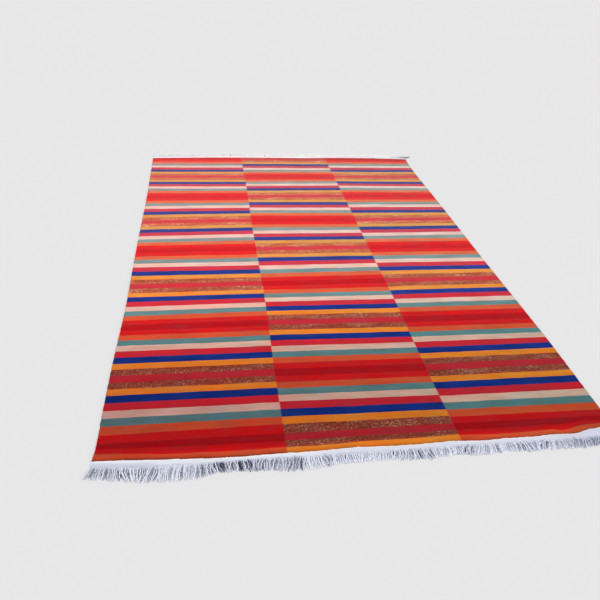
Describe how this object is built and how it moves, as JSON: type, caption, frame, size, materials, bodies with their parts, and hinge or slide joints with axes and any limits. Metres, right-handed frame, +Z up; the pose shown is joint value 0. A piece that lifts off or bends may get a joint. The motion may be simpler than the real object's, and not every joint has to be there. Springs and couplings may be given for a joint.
{
  "type": "flat-woven striped carpet with fringed ends",
  "caption": "Rectangular flat-woven wool carpet in lanes of bright cross stripes, with a white web and a loose cotton fringe at each end. It lies flat on a floor.",
  "frame": {"origin": "middle of the whole carpet's bounding box, on the floor that it lies on", "axes": "+Z up, +Y along the carpet's length from the near end to the far end, +X across it"},
  "size_m": [1.898, 2.9092, 0.0042],
  "materials": {
    "field_wool": "matt hand-woven wool, weft-faced, in cross stripes of red, dark red, orange, teal, cream, crimson, blue, gold, flecked brown and rose",
    "fringe_cotton": "matt white cotton, a plain-woven end web and its twisted warp ends"
  },
  "bodies": {
    "root": {"woven_field": "field_wool", "near_fringe": "fringe_cotton", "far_fringe": "fringe_cotton"}
  },
  "joints": []
}
